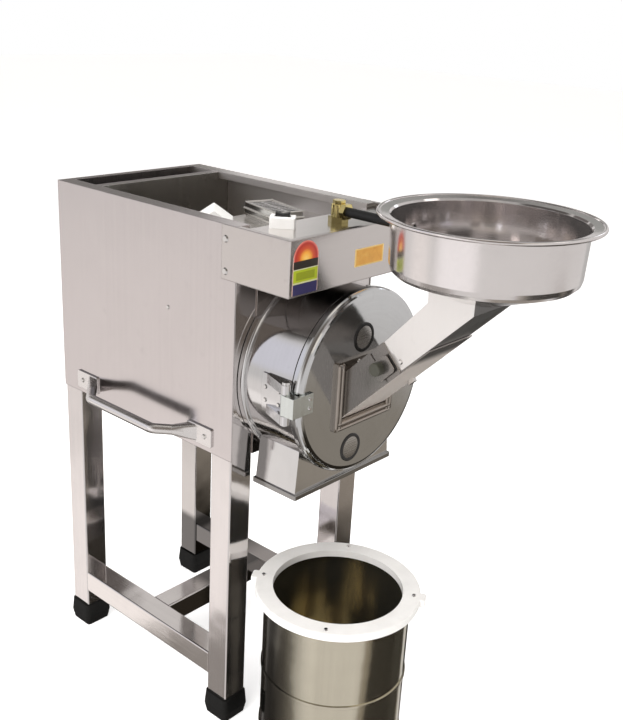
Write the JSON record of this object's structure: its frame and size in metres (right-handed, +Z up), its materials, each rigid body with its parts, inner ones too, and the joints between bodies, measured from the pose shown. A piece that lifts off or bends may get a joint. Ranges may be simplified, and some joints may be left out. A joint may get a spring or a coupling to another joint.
{
  "type": "spice and grain pulveriser",
  "caption": "Free-standing stainless pulveriser: motor cabinet on tube legs, round grinding chamber with hinged door, hopper bowl on a slanted chute, outlet above a receiving drum.",
  "frame": {"origin": "floor level, at the centre of the overall bounding box", "axes": "+Z up, -Y towards the user and the hopper, +X to the right of someone who faces the chamber door"},
  "size_m": [0.405, 0.8625, 0.88],
  "materials": {
    "panel_steel": "satin stainless sheet",
    "leg_steel": "polished stainless tube",
    "bright_steel": "bright stainless sheet and tube",
    "drum_steel": "mirror-polished stainless",
    "chute_steel": "satin stainless sheet",
    "bowl_steel": "polished stainless",
    "screw_steel": "bright plated",
    "shaft_steel": "turned steel",
    "iron": "machined and plain",
    "motor_paint": "grey-blue enamel",
    "black_rubber": "moulded",
    "black_plastic": "moulded",
    "white_plastic": "moulded",
    "pot_steel": "polished stainless",
    "brass": "turned"
  },
  "bodies": {
    "frame": {"leg_front_left": "leg_steel", "leg_front_right": "leg_steel", "leg_back_left": "leg_steel", "leg_back_right": "leg_steel", "rubber_feet": "black_rubber", "side_stretchers": "leg_steel", "cross_stretcher": "leg_steel", "left_panel": "panel_steel", "right_panel": "panel_steel", "back_panel": "panel_steel", "front_panel": "panel_steel", "rear_top_rail": "panel_steel", "accessory_tray": "bright_steel", "control_box": "panel_steel", "control_box_top": "bright_steel", "panel_rivets": "screw_steel", "side_handle_left": "bright_steel", "side_handle_right": "bright_steel", "handle_screws": "screw_steel", "motor_rails": "iron", "motor_housing": "motor_paint", "motor_end_shields": "motor_paint", "fan_cowl": "motor_paint", "terminal_box": "motor_paint", "bearing_housing": "iron", "cable_gland": "black_plastic", "chamber_shell": "drum_steel", "chamber_liner": "shaft_steel", "sieve_screen": "shaft_steel", "outlet_duct": "drum_steel", "outlet_flange": "drum_steel", "hinge_bracket": "drum_steel", "hinge_pin": "screw_steel", "switch_enclosure": "white_plastic", "brass_elbow": "brass", "water_hose": "black_rubber", "spare_sieves": "shaft_steel", "accessory_box": "white_plastic"},
    "door": {"door_plate": "drum_steel", "door_gasket": "black_rubber", "inlet_frame": "drum_steel", "inlet_spout": "chute_steel", "door_screws": "screw_steel", "hinge_leaf": "drum_steel", "grinding_pegs": "iron"},
    "clamp": {"clamp_knob": "black_plastic"},
    "hopper": {"hopper_bowl": "bowl_steel", "hopper_chute": "chute_steel"},
    "gate": {"feed_gate": "chute_steel", "gate_knob": "black_plastic"},
    "rotor": {"motor_shaft": "shaft_steel", "cooling_fan": "black_plastic", "beater_disc": "iron", "beaters": "iron", "rotor_nut": "screw_steel"},
    "rocker": {"switch_rocker": "black_plastic"},
    "vessel": {"receiving_drum": "pot_steel", "receiving_ring": "white_plastic", "ring_screws": "screw_steel"}
  },
  "joints": [
    {"name": "door_hinge", "type": "hinge", "parent": "frame", "child": "door", "pos_m": [-0.15, -0.08925, 0.6], "axis": [0, 0, -1], "range_deg": [0, 110]},
    {"name": "clamp_knob_turn", "type": "hinge", "parent": "door", "child": "clamp", "pos_m": [0.1374, -0.09825, 0.6408], "axis": [0, -1, 0], "continuous": true},
    {"name": "hopper_lift", "type": "slide", "parent": "door", "child": "hopper", "axis": [0, -0.7071, 0.7071], "range_m": [0, 0.12]},
    {"name": "feed_gate_slide", "type": "slide", "parent": "door", "child": "gate", "axis": [-1, 0, 0], "range_m": [0, 0.07]},
    {"name": "rotor_spin", "type": "hinge", "parent": "frame", "child": "rotor", "pos_m": [0, -0.01825, 0.6], "axis": [0, -1, 0], "continuous": true},
    {"name": "switch_rocker_tip", "type": "hinge", "parent": "frame", "child": "rocker", "pos_m": [-0.0835, -0.00825, 0.835], "axis": [0.7848, 0.6198, 0], "range_deg": [-10, 10]},
    {"name": "receiving_drum_slide", "type": "slide", "parent": "frame", "child": "vessel", "axis": [0, -1, 0], "range_m": [0, 0.3]}
  ]
}
